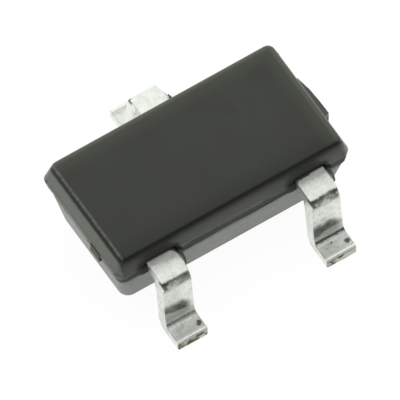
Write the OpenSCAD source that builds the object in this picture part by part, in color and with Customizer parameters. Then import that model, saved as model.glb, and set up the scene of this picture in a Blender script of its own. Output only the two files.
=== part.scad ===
// Three-lead moulded digital transistor for surface mounting, in millimetres.
// X runs along the body, the two front leads leave towards -Y, and the board is at Z = 0.

/* [Body] */
// Length of the moulded body at the level of the lead tops, where it is longest
body_l = 2.98; // [2.9:0.01:3.1]
// Width of the moulded body at its parting line
body_w = 1.54; // [1.4:0.02:1.6]
// Height of the half above the parting line
upper_h = 0.395; // [0.35:0.005:0.45]
// Height of the half below the parting line
lower_h = 0.65; // [0.55:0.01:0.75]
// Gap between the underside of the body and the board
standoff = 0.08; // [0.04:0.01:0.12]
// How far each end of the top face lies inside the longest outline
top_inset_x = 0.085; // [0.06:0.005:0.1]
// How far each side of the top face lies inside the parting line
top_inset_y = 0.045; // [0.03:0.005:0.06]
// How far each end comes in from the lead tops down to the parting line
end_inset = 0.035; // [0.02:0.005:0.04]
// Draft of the lower half, in degrees
lower_draft = 11; // [5:0.5:12]
// Radius of the upright corners of the upper half
upper_corner_r = 0.05; // [0.03:0.01:0.08]
// Radius of the upright corners of the lower half
lower_corner_r = 0.12; // [0.08:0.01:0.16]
// Radius round the edge of the top face
top_edge_r = 0.045; // [0.02:0.005:0.05]
// Radius round the edge of the underside
bottom_edge_r = 0.06; // [0.02:0.005:0.06]
// Step where the lower half sits inside the outline of the upper half
mould_step = 0.012; // [0.005:0.001:0.02]
// Diameter of the round ejector mark in the underside
ejector_d = 0.5; // [0.3:0.05:0.7]
// Depth of the ejector mark
ejector_depth = 0.02; // [0.01:0.005:0.03]

/* [Leads] */
// Width of a lead
lead_w = 0.37; // [0.3:0.01:0.45]
// Thickness of the leadframe strip
lead_t = 0.135; // [0.1:0.005:0.15]
// Distance between the centres of the two front leads
lead_pitch = 1.9; // [1.7:0.05:2]
// Flat length of a lead from the body to its first bend
shelf_l = 0.315; // [0.25:0.005:0.4]
// Slope of the leg of a lead, in degrees from upright
leg_lean = 6.5; // [2:0.5:10]
// Flat length of a foot from the bend to its cut end
foot_l = 0.26; // [0.2:0.01:0.4]
// Radius over the outside of the first bend
crease_r = 0.06; // [0.04:0.005:0.08]
// Radius inside the first bend
armpit_r = 0.05; // [0.03:0.005:0.06]
// Radius inside the bend at the foot
instep_r = 0.045; // [0.03:0.005:0.06]
// Radius round the heel under the foot
heel_r = 0.12; // [0.06:0.01:0.13]
// Radius where the shear rolled the upper edge of the cut end
toe_r = 0.04; // [0.02:0.005:0.06]
// How far the dam bar cut, which sits off centre, bites into one side of the shelf
trim_depth = 0.035; // [0.02:0.005:0.06]
// How far the stub of the dam bar stands out on the other side
stub_out = 0.03; // [0.01:0.005:0.05]

/* [Flash at the leads] */
// Width of the web of compound beside each lead
flash_w = 0.07; // [0.03:0.01:0.09]
// Thickness of the webs on the stub side of the leads
flash_t = 0.11; // [0.06:0.01:0.12]
// Thickness of the webs on the trimmed side
flash_rest_t = 0.13; // [0.06:0.005:0.13]
// How far the webs on the stub side of the leads reach out of the body
flash_out = 0.09; // [0.04:0.01:0.12]
// How far the webs on the trimmed side reach out
flash_rest = 0.015; // [0.005:0.005:0.04]

/* [Gate mark] */
// Length along the body end of the lump left by the moulding gate
gate_l = 0.6; // [0.5:0.02:0.7]
// Centre of the lump along Y
gate_y = 0; // [-0.05:0.01:0.05]
// How far the lump stands out of the body end
gate_out = 0.05; // [0.04:0.005:0.1]
// Height of the lump above the parting line
gate_up = 0.16; // [0.155:0.005:0.2]
// Depth of the lump below the parting line
gate_down = 0.06; // [0.04:0.01:0.1]

/* [End bars] */
// Width of the cut bar that held each body end in the strip
bar_w = 0.18; // [0.12:0.01:0.24]
// Place of the left bar along Y
bar_y = -0.31; // [-0.34:0.01:-0.2]
// Place of the right bar along Y, in the gate lump
right_bar_y = -0.07; // [-0.09:0.01:0]
// Length of a bar inside the body
bar_embed = 0.16; // [0.12:0.01:0.18]
// How far the cut end of the left bar stands out of the body
bar_out = 0.004; // [0.002:0.001:0.03]
// Width of the anchor across the inner end of a bar
bar_anchor_w = 0.28; // [0.26:0.01:0.32]
// Length of that anchor
bar_anchor_l = 0.06; // [0.04:0.01:0.08]

/* [Leadframe inside] */
// Length of the pad that carries the die, along X
pad_l = 0.84; // [0.7:0.02:1]
// Width of the pad, along Y
pad_w = 0.52; // [0.44:0.02:0.56]
// Gap between the pad and the posts, along Y
frame_gap = 0.24; // [0.2:0.01:0.28]
// Place of the middle of that gap along Y
gap_y = -0.12; // [-0.14:0.01:-0.1]
// Width of a bonding post, along Y
post_w = 0.28; // [0.2:0.02:0.3]
// How far a post reaches past the inner side of its lead
post_reach = 0.12; // [0.06:0.01:0.16]
// Clearance between a post and the anchor of the end bar beside it
post_gap = 0.145; // [0.1:0.005:0.2]

/* [Die] */
// Side of the square silicon die
die_l = 0.3; // [0.22:0.01:0.36]
// Thickness of the die
die_t = 0.1; // [0.08:0.005:0.12]
// Thickness of the solder that holds the die
attach_t = 0.01; // [0.005:0.001:0.012]
// Width of the solder showing round the die
attach_rim = 0.02; // [0.01:0.005:0.03]

/* [Bond wires] */
// Diameter of a bond wire
wire_d = 0.025; // [0.02:0.001:0.03]
// Diameter of the ball bonded to the die
ball_d = 0.07; // [0.05:0.005:0.08]
// Height of that ball
ball_h = 0.02; // [0.015:0.001:0.025]
// Distance from the centre of the die to each ball, along X
ball_x = 0.09; // [0.06:0.005:0.1]
// Distance from the inner end of a post to the centre of the stitch
stitch_inset = 0.27; // [0.2:0.01:0.3]
// Diameter of the flat stitch that ends a wire on its post
stitch_d = 0.08; // [0.06:0.005:0.1]
// Thickness of the stitch
stitch_h = 0.018; // [0.014:0.001:0.022]
// Rise of the control points that shape the loop
loop_rise = 0.07; // [0.05:0.005:0.08]

/* [Hidden] */
$fn = 64;

// Levels above the board
part_z = standoff + lower_h;
frame_top = part_z + lead_t;
attach_top = frame_top + attach_t;
die_top = attach_top + die_t;

// Places along the gull wing, measured outwards from the middle of the body
crease_u = body_w / 2 + shelf_l;
instep_u = crease_u + part_z * tan(leg_lean);
toe_u = instep_u + foot_l;
armpit_u = crease_u + lead_t * tan(leg_lean) - lead_t / cos(leg_lean);
heel_u = crease_u + frame_top * tan(leg_lean) - lead_t / cos(leg_lean);

// Middles of the inner plates, ends of a post, and where the strips of the leads meet the plates
pad_y = gap_y + frame_gap / 2 + pad_w / 2;
post_y = gap_y - frame_gap / 2 - post_w / 2;
post_start = lead_pitch / 2 - lead_w / 2 - post_reach;
post_end = body_l / 2 - bar_embed - post_gap;
root_u = min(pad_y + pad_w / 2, post_w / 2 - post_y);

// How far a cutter runs past the face it opens
over = 0.05;

// Rings along a bond wire and sides round it
wire_rings = 18;
wire_sides = 10;

// Distance from a corner to where a round of radius r meets its sides, which leave along d1 and d2
function round_reach(r, d1, d2) = r / tan(acos(d1 * d2) / 2);
function round_centre(c, r, d1, d2) = c + (d1 + d2) / norm(d1 + d2) * r / sin(acos(d1 * d2) / 2);

// Cutter for the round of radius r on an outer corner at c. Its circle stands outside both sides by a
// thousandth of r, so that it crosses them instead of only touching them.
module corner_cut(c, r, d1, d2) {
  near = 0.9985 * r;
  middle = round_centre(c, near, d1, d2);
  reach = round_reach(near, d1, d2);
  difference() {
    polygon([
      middle,
      middle + 2 * (c + d1 * reach - middle),
      middle + 2 * (c - middle),
      middle + 2 * (c + d2 * reach - middle)
    ]);
    translate(middle) circle(r);
  }
}

// Filler for the round of radius r in an inner corner at c
module corner_fill(c, r, d1, d2) {
  difference() {
    polygon([
      c,
      c + d1 * round_reach(r, d1, d2),
      round_centre(c, r, d1, d2),
      c + d2 * round_reach(r, d1, d2)
    ]);
    translate(round_centre(c, r, d1, d2)) circle(r);
  }
}

// Section of one mould half, standing on the parting line: w is half its width there, and after a first
// rise it comes in by inset to its flat end at height h, with a rounded edge; flare widens that rise
module half_section(w, flare, rise, inset, h, edge_r) {
  slope = atan(inset / (h - rise));
  top = w + flare - inset;
  difference() {
    if (rise > 0)
      polygon([[-w, 0], [w, 0], [w + flare, rise], [top, h], [-top, h], [-w - flare, rise]]);
    else
      polygon([[-w, 0], [w, 0], [top, h], [-top, h]]);
    corner_cut([top, h], edge_r, [-1, 0], [sin(slope), -cos(slope)]);
    corner_cut([-top, h], edge_r, [1, 0], [-sin(slope), -cos(slope)]);
  }
}

// Cutter for the round of radius r on the upright corner that climbs from a to b
module upright_cut(a, b, r) {
  rise = b - a;
  along = rise / norm(rise);
  end_face = [rise[2], 0, -rise[0]] / norm([rise[2], rise[0]]);
  side_face = [0, rise[2], -rise[1]] / norm([rise[2], rise[1]]);
  inward = -(end_face + side_face) / norm(end_face + side_face);
  across = cross(along, inward);
  half = 90 - acos(end_face * side_face) / 2;
  multmatrix([
    [inward[0], across[0], along[0], a[0]],
    [inward[1], across[1], along[1], a[1]],
    [inward[2], across[2], along[2], a[2]]
  ])
    translate([0, 0, -over])
      linear_extrude(norm(rise) + 2 * over)
        corner_cut([0, 0], r, [cos(half), sin(half)], [cos(half), -sin(half)]);
}

// The same cutter at all four corners
module upright_cuts(a, b, r) {
  for (x = [0, 1], y = [0, 1]) mirror([x, 0, 0]) mirror([0, y, 0]) upright_cut(a, b, r);
}

// The half above the parting line: upright between the leads, then drafted to the top face
module upper_half() {
  x = body_l / 2 - end_inset;
  y = body_w / 2;
  ridge = [body_l / 2, y, lead_t];
  difference() {
    intersection() {
      rotate([90, 0, 0])
        linear_extrude(body_w + over, center = true)
          half_section(x, end_inset, lead_t, top_inset_x, upper_h, top_edge_r);
      rotate([90, 0, 90])
        linear_extrude(body_l + over, center = true)
          half_section(y, 0, lead_t, top_inset_y, upper_h, top_edge_r);
    }
    upright_cuts([x, y, 0], ridge, upper_corner_r);
    upright_cuts(ridge, [ridge[0] - top_inset_x, y - top_inset_y, upper_h], upper_corner_r);
  }
}

// The half below the parting line, drawn upside down
module lower_half() {
  x = body_l / 2 - end_inset - mould_step;
  y = body_w / 2 - mould_step;
  inset = lower_h * tan(lower_draft);
  difference() {
    intersection() {
      rotate([90, 0, 0])
        linear_extrude(body_w + over, center = true) half_section(x, 0, 0, inset, lower_h, bottom_edge_r);
      rotate([90, 0, 90])
        linear_extrude(body_l + over, center = true) half_section(y, 0, 0, inset, lower_h, bottom_edge_r);
    }
    upright_cuts([x, y, 0], [x - inset, y - inset, lower_h], lower_corner_r);
  }
}

// Broken lump of compound where the gate was snapped off the right end
module gate_lump() {
  root = body_l / 2 - end_inset - lower_h * tan(lower_draft);
  face = body_l / 2 + gate_out;
  translate([0, 0, part_z - gate_down])
    linear_extrude(gate_down + gate_up)
      polygon([
        [root, gate_y + gate_l / 2],
        [body_l / 2, gate_y + gate_l / 2],
        [face - gate_out / 4, gate_y + gate_l / 5],
        [face, gate_y - gate_l * 2 / 5],
        [body_l / 2, gate_y - gate_l / 2],
        [root, gate_y - gate_l / 2]
      ]);
}

// Web of compound left along one side of a lead that leaves along +Y, in line with the lead's underside
module lead_flash(side, out, thickness) {
  foot = body_w / 2 - over;
  inner = side * (lead_w / 2 - over);
  outer = side * (lead_w / 2 + flash_w);
  translate([0, 0, part_z])
    linear_extrude(thickness)
      polygon([
        [inner, foot], [outer, foot], [outer, body_w / 2],
        [side * (lead_w / 2 + flash_w / 3), body_w / 2 + out], [inner, body_w / 2 + out]
      ]);
}

// Both webs of a lead; the trimmed side of the lead is given by trimmed
module lead_webs(trimmed) {
  lead_flash(trimmed, flash_rest, flash_rest_t);
  lead_flash(-trimmed, flash_out, flash_t);
}

module moulded_body() {
  color([0.24, 0.25, 0.23])
    difference() {
      union() {
        translate([0, 0, part_z]) upper_half();
        translate([0, 0, part_z]) mirror([0, 0, 1]) lower_half();
        gate_lump();
        lead_webs(-1);
        for (side = [-1, 1]) translate([side * lead_pitch / 2, 0, 0]) rotate(180) lead_webs(1);
      }
      translate([0, 0, standoff - over]) cylinder(h = over + ejector_depth, d = ejector_d);
      collector_lead();
      input_lead();
      ground_lead();
      left_end_bar();
      right_end_bar();
      silicon_die();
      die_attach();
      input_bond_wire();
      ground_bond_wire();
    }
}

// Side view of a lead outside the body, from the body's edge to the cut end of the foot
module wing_section() {
  down = [sin(leg_lean), -cos(leg_lean)];
  crease = [crease_u, frame_top];
  instep = [instep_u, lead_t];
  armpit = [armpit_u, part_z];
  heel = [heel_u, 0];
  difference() {
    polygon([
      [root_u, part_z], [root_u, frame_top], crease, instep, [toe_u, lead_t], [toe_u, 0], heel, armpit
    ]);
    corner_cut(crease, crease_r, [-1, 0], down);
    corner_cut(heel, heel_r, -down, [1, 0]);
    corner_cut([toe_u, lead_t], toe_r, [-1, 0], [0, -1]);
  }
}

// The two inside rounds of that side view
module wing_inside_rounds() {
  down = [sin(leg_lean), -cos(leg_lean)];
  corner_fill([armpit_u, part_z], armpit_r, [-1, 0], down);
  corner_fill([instep_u, lead_t], instep_r, -down, [1, 0]);
}

// Cut by the dam bar punch in one side of the shelf, from within the web there to the first bend
module trim_cut(side) {
  start = body_w / 2 + flash_rest / 2;
  translate([side * (lead_w / 2 - trim_depth / 2 + over / 2), (start + armpit_u) / 2, frame_top])
    cube([trim_depth + over, armpit_u - start, 4 * lead_t], center = true);
}

// Stub of the dam bar on the other side, with the slope of its root
module dam_stub(side) {
  start = body_w / 2 + flash_out / 3;
  inner = side * (lead_w / 2 - over);
  edge = side * lead_w / 2;
  tip = side * (lead_w / 2 + stub_out);
  translate([0, 0, part_z])
    linear_extrude(lead_t)
      polygon([
        [inner, start], [edge, start], [tip, (start + 2 * armpit_u) / 3],
        [tip, armpit_u - stub_out / 3], [edge, armpit_u], [inner, armpit_u]
      ]);
}

// Gull wing that leaves the body along +Y; the punch trimmed the side given by trimmed
module gull_wing(trimmed) {
  difference() {
    union() {
      rotate([90, 0, 90]) linear_extrude(lead_w, center = true) wing_section();
      rotate([90, 0, 90]) linear_extrude(lead_w, center = true) wing_inside_rounds();
      dam_stub(-trimmed);
    }
    trim_cut(trimmed);
  }
}

// Flat plate of the leadframe, centred at x and y, at the level of the leads
module frame_plate(x, y, l, w) {
  translate([x - l / 2, y - w / 2, part_z]) cube([l, w, lead_t]);
}

// The collector lead carries the pad under the die
module collector_lead() {
  color([0.78, 0.79, 0.76]) {
    gull_wing(-1);
    frame_plate(0, pad_y, pad_l, pad_w);
  }
}

// A front lead ends inside in the post that takes a bond wire; side is -1 on the left and 1 on the right
module front_lead(side) {
  translate([side * lead_pitch / 2, 0, 0]) rotate(180) gull_wing(1);
  frame_plate(side * (post_start + post_end) / 2, post_y, post_end - post_start, post_w);
}

module input_lead() {
  color([0.8, 0.81, 0.78]) front_lead(-1);
}

module ground_lead() {
  color([0.8, 0.81, 0.78]) front_lead(1);
}

// Bar in one end of the body, with an anchor across its inner end; out is how far it stands out
module end_bar(side, y, out) {
  tip = body_l / 2 + out;
  inner = body_l / 2 - bar_embed;
  frame_plate(side * (tip + inner) / 2, y, tip - inner, bar_w);
  frame_plate(side * (inner + bar_anchor_l / 2), y, bar_anchor_l, bar_anchor_w);
}

module left_end_bar() {
  color([0.55, 0.45, 0.32]) end_bar(-1, bar_y, bar_out);
}

// The right bar was sheared in line with the gate lump, and its cut end shows in the lump
module right_end_bar() {
  color([0.55, 0.45, 0.32]) end_bar(1, right_bar_y, gate_out);
}

module die_attach() {
  side = die_l + 2 * attach_rim;
  color([0.7, 0.7, 0.68]) translate([-side / 2, pad_y - side / 2, frame_top]) cube([side, side, attach_t]);
}

module silicon_die() {
  color([0.35, 0.37, 0.42])
    translate([-die_l / 2, pad_y - die_l / 2, attach_top]) cube([die_l, die_l, die_t]);
}

// Point at t, from 0 to 1, on the loop of a wire that spans length s and ends drop lower than it starts
function loop_point(t, s, drop) =
  let (a = 3 * (1 - t) * (1 - t) * t, b = 3 * (1 - t) * t * t, c = t * t * t)
  [b * s / 3 + c * s, (a + b) * loop_rise - c * drop];

// Direction of the loop at t, as an angle above the horizontal
function loop_angle(t, s, drop) =
  let (step = 0.001, p = loop_point(max(t - step, 0), s, drop), q = loop_point(min(t + step, 1), s, drop))
  atan2(q[1] - p[1], q[0] - p[0]);

// Ring of points round the wire at t, in the loop's own upright plane
function wire_ring(t, s, drop) =
  let (p = loop_point(t, s, drop), a = t == 0 ? 90 : loop_angle(t, s, drop))
  [for (k = [0:wire_sides - 1])
    let (turn = 360 * k / wire_sides, r = wire_d / 2)
    [p[0] - r * cos(turn) * sin(a), r * sin(turn), p[1] + r * cos(turn) * cos(a)]
  ];

// Wire swept along its loop
module wire_loop(s, drop) {
  points = [for (i = [0:wire_rings]) each wire_ring(i / wire_rings, s, drop)];
  skin = [
    for (i = [0:wire_rings - 1]) for (k = [0:wire_sides - 1])
      let (n = (k + 1) % wire_sides, low = i * wire_sides, high = low + wire_sides)
      each [[low + k, high + k, high + n], [low + k, high + n, low + n]]
  ];
  start_cap = [for (k = [0:wire_sides - 1]) k];
  end_cap = [for (k = [wire_sides - 1:-1:0]) wire_rings * wire_sides + k];
  polyhedron(points, concat([start_cap], skin, [end_cap]));
}

// Bond wire from the die to the post on one side: a ball on the die, the loop, and a stitch on the post
module bond_wire(side) {
  ball = [side * ball_x, pad_y - die_l / 4, die_top];
  stitch = [side * (post_start + stitch_inset), post_y, frame_top];
  run = [stitch[0] - ball[0], stitch[1] - ball[1]];
  start_z = die_top + ball_h / 2;
  end_z = frame_top + wire_d / 2 + ball_h / 10;
  translate(ball) cylinder(h = ball_h, d = ball_d);
  translate(stitch) cylinder(h = stitch_h, d = stitch_d);
  translate([ball[0], ball[1], start_z]) rotate(atan2(run[1], run[0])) wire_loop(norm(run), start_z - end_z);
}

module input_bond_wire() {
  color([0.85, 0.68, 0.3]) bond_wire(-1);
}

module ground_bond_wire() {
  color([0.85, 0.68, 0.3]) bond_wire(1);
}

moulded_body();
collector_lead();
input_lead();
ground_lead();
left_end_bar();
right_end_bar();
silicon_die();
die_attach();
input_bond_wire();
ground_bond_wire();
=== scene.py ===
"""Looks of a three-lead moulded digital transistor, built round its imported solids, in metres."""

import math

import bmesh
import bpy
from bpy.props import FloatProperty, FloatVectorProperty, PointerProperty
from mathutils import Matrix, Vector


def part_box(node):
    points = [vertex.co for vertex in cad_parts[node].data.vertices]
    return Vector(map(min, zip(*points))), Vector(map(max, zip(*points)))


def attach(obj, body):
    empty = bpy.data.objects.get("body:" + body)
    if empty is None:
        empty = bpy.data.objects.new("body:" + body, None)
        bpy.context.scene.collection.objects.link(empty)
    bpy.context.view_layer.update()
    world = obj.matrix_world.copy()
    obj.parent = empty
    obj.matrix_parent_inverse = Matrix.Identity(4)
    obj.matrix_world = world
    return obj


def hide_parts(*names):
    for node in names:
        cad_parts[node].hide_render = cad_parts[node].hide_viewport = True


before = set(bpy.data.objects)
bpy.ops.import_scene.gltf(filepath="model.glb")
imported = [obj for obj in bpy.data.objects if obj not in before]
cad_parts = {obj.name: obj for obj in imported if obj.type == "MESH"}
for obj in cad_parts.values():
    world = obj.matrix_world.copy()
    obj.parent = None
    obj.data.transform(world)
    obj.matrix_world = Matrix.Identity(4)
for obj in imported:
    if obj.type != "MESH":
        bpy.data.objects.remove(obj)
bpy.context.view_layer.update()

bl_info = {
    "name": "Digital transistor looks",
    "version": (1, 0, 0),
    "blender": (4, 5, 0),
    "location": "3D View > Sidebar > Transistor",
    "description": "Moulded body, gull-wing leads, finishes and studio for a small transistor",
    "category": "Object",
}

MM = 0.001
IMAGE_SIDE = 400

# How far apart two places may lie and still count as one
SLACK = 1e-6

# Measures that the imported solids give
body_low, body_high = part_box("moulded_body")
lead_low, lead_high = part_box("ground_lead")
pad_low, pad_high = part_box("collector_lead")
bar_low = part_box("left_end_bar")[0]
FRAME_TOP = lead_high.z
PARTING = bar_low.z
LEAD_T = FRAME_TOP - PARTING
BODY_TOP = body_high.z
BODY_FLOOR = body_low.z
RIDGE_X = -body_low.x
TOE = pad_high.y

# Measures that the scene shares between its shapes and its finishes
LEAD_PITCH = 1.9 * MM
LEAD_WIDTH = 0.378 * MM
FOOT_LENGTH = 0.26 * MM
BODY_SIDE = 0.77 * MM
CREASE = 1.085 * MM

# How far the ridge of an end stands out past the parting line
RIDGE_OUT = 0.035 * MM

# How far joined pieces reach into each other
OVERLAP = 0.05 * MM

# Places in millimetres, as the finishes read them
TOP_AT = BODY_TOP / MM
RIDGE_AT = RIDGE_X / MM
SIDE_AT = BODY_SIDE / MM
PARTING_AT = PARTING / MM
FRAME_TOP_AT = FRAME_TOP / MM
THICK = LEAD_T / MM
CREASE_AT = CREASE / MM
TOE_AT = TOE / MM
INSTEP_AT = (TOE - FOOT_LENGTH) / MM
LEAD_HALF = LEAD_WIDTH / MM / 2

# Colours of the painted highlights, of the back lead's tin and of the cut places on the leads
HIGHLIGHT_TIN = (0.98, 0.98, 0.96)
BACK_TIN = (0.97, 0.98, 0.95)
CUT_BROWN = (0.08, 0.06, 0.03)
CUT_GREY = (0.4, 0.37, 0.28)
CUT_PALE = (0.88, 0.87, 0.8)
CUT_BURR = (0.12, 0.1, 0.06)

# Studio
WHITE = (1, 1, 1)
BLACK = (0, 0, 0)
FLOOR_GREY = (0.85, 0.85, 0.84)
FLOOR_DIM = (0.09, 0.09, 0.09)
FLOOR_SIDE = 0.2
FLOOR_DROP = 2e-6
CAMERA_AWAY = 0.06
LAMP_SIDE = 0.02
LAMP_PLACE = (-0.012, 0.014, 0.03)
BRIGHT_SKY = (0.15, 0.45, 0.82)


def length(name, description, default):
    return FloatProperty(
        name=name, description=description, default=default, min=0, max=10 * MM,
        unit="LENGTH", subtype="DISTANCE", precision=6,
    )


def angle(name, description, degrees):
    return FloatProperty(
        name=name, description=description, default=math.radians(degrees), min=0, max=math.pi / 2,
        unit="ROTATION", subtype="ANGLE",
    )


def number(name, description, default):
    return FloatProperty(name=name, description=description, default=default, min=0, precision=6)


def colour(name, description, default):
    return FloatVectorProperty(
        name=name, description=description, default=default, size=3, min=0.0, max=1.0, subtype="COLOR",
    )


class BodySizes(bpy.types.PropertyGroup):
    parting_x: length("Parting half-length", "Half length of the body at the parting", RIDGE_X - RIDGE_OUT)
    parting_y: length("Parting half-width", "Half width of the body at the parting line", BODY_SIDE)
    top_inset_x: length("Top end inset", "How far each end of the top lies inside the ridge", 0.085 * MM)
    top_inset_y: length("Top side inset", "How far each side of the top lies inside its wall", 0.045 * MM)
    step: length("Mould step", "Ledge under the upper half", 0.012 * MM)
    draft: angle("Lower draft", "Draft of the lower half", 11)
    upper_corner: length("Upper corner", "Radius of the upright corners above the parting line", 0.078 * MM)
    lower_left: length("Lower left corners", "Radius of the left corners below the parting", 0.12 * MM)
    lower_right: length("Lower right corners", "Radius of the right corners below the parting", 0.07 * MM)
    top_edge: length("Top edge", "Radius round the edge of the top", 0.045 * MM)
    bottom_edge: length("Bottom edge", "Radius round the edge of the underside", 0.06 * MM)
    ridge_round: length("Ridge round", "Width of the round along the longest outline of the ends", 0.03 * MM)
    ragged: length("Ragged flash", "How much the parting edge wanders", 0.009 * MM)
    ejector_r: length("Ejector radius", "Radius of the ejector mark in the underside", 0.25 * MM)
    ejector_depth: length("Ejector depth", "Depth of the ejector mark", 0.02 * MM)
    gate_front: length("Gate front", "How far the lump at the gate reaches to the front", 0.265 * MM)
    gate_back: length("Gate back", "How far the lump reaches to the back", 0.3 * MM)
    gate_up: length("Gate above", "Height of the lump above the parting line", 0.16 * MM)
    gate_down: length("Gate below", "Depth of the lump below the parting line", 0.06 * MM)
    pocket_depth: length("Pocket depth", "Depth of the hollow in the wall round a lead", 0.028 * MM)
    pocket_rise: length("Pocket rise", "Height of that hollow above the lead", 0.075 * MM)
    pocket_wide: length("Pocket width", "How far that hollow reaches beside the lead", 0.02 * MM)
    web_width: length("Web width", "Width of the flash web beside a lead", 0.085 * MM)
    web_out: length("Web reach", "How far the webs reach out on the stub side", 0.15 * MM)
    web_rest: length("Short web reach", "How far the webs reach out on the trimmed side", 0.015 * MM)
    web_height: length("Web height", "Height of the webs on the stub side", 0.11 * MM)
    web_rest_height: length("Short web height", "Height of the webs on the trimmed side", 0.13 * MM)


class LeadSizes(bpy.types.PropertyGroup):
    width: length("Width", "Width of a lead", LEAD_WIDTH)
    pitch: length("Pitch", "Distance between the two front leads", LEAD_PITCH)
    crease: length("Crease", "Distance of the first bend from the middle of the body", CREASE)
    lean: angle("Lean", "Slope of the leg from upright", 6.5)
    inner: length("Inner end", "Where the lead widens into its inner plate", 0.52 * MM)
    trim: length("Trim", "Cut of the dam bar punch on one side", 0.02 * MM)
    trim_start: length("Trim start", "Where that cut starts, under the flash", 0.7 * MM)
    stub: length("Stub", "What is left of the dam bar on the other side", 0.022 * MM)
    stub_length: length("Stub length", "How far the stub runs before it slopes back", 0.03 * MM)
    stub_start: length("Stub start", "Where the stub starts to slope out", 0.8 * MM)
    neck: length("Neck", "How far the stretched outside of the bend draws in", 0.02 * MM)
    crease_round: length("Crease round", "Radius over the first bend", 0.06 * MM)
    armpit_round: length("Armpit round", "Radius inside the first bend", 0.05 * MM)
    instep_round: length("Instep round", "Radius inside the second bend", 0.09 * MM)
    heel_round: length("Heel round", "Radius under the second bend", 0.17 * MM)
    toe_round: length("Toe round", "Radius on the sheared end", 0.02 * MM)
    side_round: length("Side round", "Rolled long edges of the strip", 0.012 * MM)


class Finishes(bpy.types.PropertyGroup):
    compound: colour("Compound", "Moulding compound", (0.014, 0.018, 0.011))
    # Painted sheen: the paler grey painted where the walls, the ends, the webs and the back and right of the
    # top reflect light
    painted_sheen: colour("Painted sheen", "Paler skin on the ends of the body", (0.15, 0.157, 0.14))
    # Painted shade: the near-black painted round the leads, along the front rim of the top and on the tip of
    # the gate lump
    painted_shade: colour("Painted shade", "Resin-rich dark compound round the leads", (0.004, 0.005, 0.002))
    tin: colour("Tin", "Tin plating of the leads", (0.9, 0.91, 0.89))
    # Dark marks on the leads; the same colour paints the shade in their bends
    stain_and_shade: colour("Stain and shade", "Dark film in the bends", (0.07, 0.072, 0.055))
    alloy: colour("Cut alloy", "Sheared copper alloy", (0.09, 0.08, 0.055))


class StudioSettings(bpy.types.PropertyGroup):
    azimuth: angle("Azimuth", "Camera angle round the part", 32.644)
    elevation: angle("Elevation", "Camera angle above the board", 59.726)
    pixels_per_mm: number("Scale", "Pixels of the picture per millimetre", 92.862)
    aim_right: length("Aim right", "How far the camera aims to the right of the body", 0.0428 * MM)
    aim_down: length("Aim down", "How far the camera aims below the body in the picture", 0.2536 * MM)
    aim_height: length("Aim height", "Height over the board that the camera aims at", 0.6 * MM)
    zenith: number("Overhead", "Strength of the light from overhead", 1.0)
    horizon: number("Horizon", "Strength of the light from the front", 0.06)
    tint: colour("Tint", "Colour of the reflected light", (0.965, 1.0, 0.94))
    lamp: number("Lamp", "Power of the soft lamp in watts", 0.0002)


# Modelling helpers

def start_edit(piece):
    bpy.ops.object.select_all(action="DESELECT")
    piece.select_set(True)
    bpy.context.view_layer.objects.active = piece
    bpy.ops.object.mode_set(mode="EDIT")
    bpy.ops.mesh.select_all(action="DESELECT")


def end_edit():
    bpy.ops.object.mode_set(mode="OBJECT")


def pick(piece, kind, test):
    """Selects the vertices, edges or faces that pass a test of their place, and of a face's normal."""
    bpy.ops.mesh.select_mode(type=kind)
    bpy.ops.mesh.select_all(action="DESELECT")
    mesh = bmesh.from_edit_mesh(piece.data)
    found = 0
    if kind == "VERT":
        for v in mesh.verts:
            v.select = test(v.co)
            found += v.select
    elif kind == "EDGE":
        for e in mesh.edges:
            e.select = test(e.verts[0].co, e.verts[1].co)
            found += e.select
    else:
        for f in mesh.faces:
            f.select = test(f.calc_center_median(), f.normal)
            found += f.select
    mesh.select_flush_mode()
    bmesh.update_edit_mesh(piece.data)
    if not found:
        raise RuntimeError(f"nothing was selected on {piece.name}")


def block(name, low, high):
    """A box between two corners, its place in its mesh."""
    bpy.ops.object.select_all(action="DESELECT")
    low, high = Vector(low), Vector(high)
    bpy.ops.mesh.primitive_cube_add(size=1, location=(low + high) / 2, scale=high - low)
    piece = bpy.context.active_object
    piece.name = name
    piece.data.name = name
    bpy.ops.object.transform_apply(location=True, rotation=True, scale=True)
    return piece


def extrude(move):
    bpy.ops.mesh.extrude_region_move(TRANSFORM_OT_translate={"value": move})


def stretch(x, y):
    bpy.ops.transform.resize(value=(x, y, 1), center_override=(0, 0, 0))


def bevel(width, segments):
    bpy.ops.mesh.bevel(
        offset=width, offset_type="OFFSET", segments=segments, profile=0.5, affect="EDGES",
        clamp_overlap=False,
    )


def nudge(piece, test, move):
    pick(piece, "VERT", test)
    bpy.ops.transform.translate(value=move)


def roughen(amount, seed):
    """Moves the selected vertices each a little, the same way every time."""
    bpy.ops.transform.vertex_random(offset=amount, seed=seed)


def cut(point, normal):
    """Cuts the selected faces, or all of them, with a plane."""
    bpy.ops.mesh.bisect(plane_co=point, plane_no=normal, threshold=1e-8)


def near(a, b, slack=SLACK / 2):
    return abs(a - b) < slack


def level(a, b, height):
    """Whether an edge lies level at a height."""
    return near(a.z, height) and near(b.z, height)


def upright(a, b):
    return abs(a.z - b.z) > 5 * SLACK


def finish_mesh(piece, degrees):
    """Merges doubles, turns the faces outwards and shades them smooth below an angle."""
    start_edit(piece)
    bpy.ops.mesh.select_all(action="SELECT")
    bpy.ops.mesh.remove_doubles(threshold=0.2e-6)
    bpy.ops.mesh.normals_make_consistent(inside=False)
    end_edit()
    bpy.ops.object.shade_smooth_by_angle(angle=math.radians(degrees))
    even_shading(piece)


def even_shading(piece):
    """Keeps broad flat faces flat beside their small rounds."""
    tool = piece.modifiers.new("Even shading", "WEIGHTED_NORMAL")
    tool.keep_sharp = True
    bpy.ops.object.modifier_apply(modifier=tool.name)


def dress(piece, material, node):
    """Gives a piece its material and its slot, and lets it stand for a node."""
    coat(piece, material)
    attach(piece, "root")
    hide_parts(node)


def coat(piece, material):
    piece.data.materials.clear()
    piece.data.materials.append(bpy.data.materials[material])


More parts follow.
